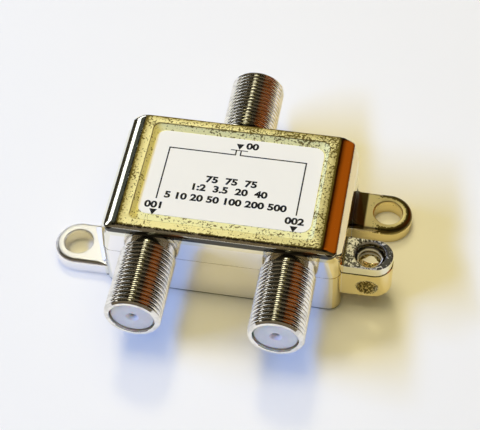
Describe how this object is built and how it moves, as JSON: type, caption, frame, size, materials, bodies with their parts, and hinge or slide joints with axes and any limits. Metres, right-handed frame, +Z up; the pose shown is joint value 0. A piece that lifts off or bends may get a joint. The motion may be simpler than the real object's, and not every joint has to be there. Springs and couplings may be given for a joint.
{
  "type": "coaxial splitter",
  "caption": "Die-cast signal splitter box with threaded coaxial ports front and back, screw ears on opposite corners, a tapped grounding lug and a label in its lid.",
  "frame": {"origin": "on the mounting surface, under the middle of the box", "axes": "+X to the right and +Y to the back as the label is read, +Z up from the mounting surface; the outputs face -Y and the input +Y"},
  "size_m": [0.0612, 0.0524, 0.0164],
  "materials": {
    "housing_plate": "bright warm nickel plate on a zinc casting",
    "port_plate": "bright nickel plate on a turned thread",
    "insulator_plastic": "natural white, satin",
    "label_film": "off-white printed film",
    "contact_metal": "bright spring bronze",
    "board_laminate": "green solder mask",
    "ferrite": "dark, matt",
    "enamelled_copper": "lacquered copper wire",
    "resistor_ceramic": "glazed black",
    "capacitor_lacquer": "dipped lacquer",
    "diode_case": "moulded black",
    "solder": "tin solder",
    "tin_plate": "tinned steel sheet",
    "sealant": "grey sealing bead"
  },
  "bodies": {
    "root": {"housing": "housing_plate", "back_plate": "tin_plate", "back_seal": "sealant", "label": "label_film", "in_port": "port_plate", "out_1_port": "port_plate", "out_2_port": "port_plate", "in_insulator": "insulator_plastic", "out_1_insulator": "insulator_plastic", "out_2_insulator": "insulator_plastic", "in_contact": "contact_metal", "out_1_contact": "contact_metal", "out_2_contact": "contact_metal", "circuit_board": "board_laminate", "matching_core": "ferrite", "splitting_core": "ferrite", "matching_winding": "enamelled_copper", "splitting_winding": "enamelled_copper", "isolation_resistor": "resistor_ceramic", "in_capacitor": "capacitor_lacquer", "out_1_capacitor": "capacitor_lacquer", "out_2_capacitor": "capacitor_lacquer", "in_choke_core": "ferrite", "out_1_choke_core": "ferrite", "out_2_choke_core": "ferrite", "in_choke_winding": "enamelled_copper", "out_1_choke_winding": "enamelled_copper", "out_2_choke_winding": "enamelled_copper", "out_1_diode": "diode_case", "out_2_diode": "diode_case", "terminal_joints": "solder", "ground_joints": "solder"}
  },
  "joints": []
}
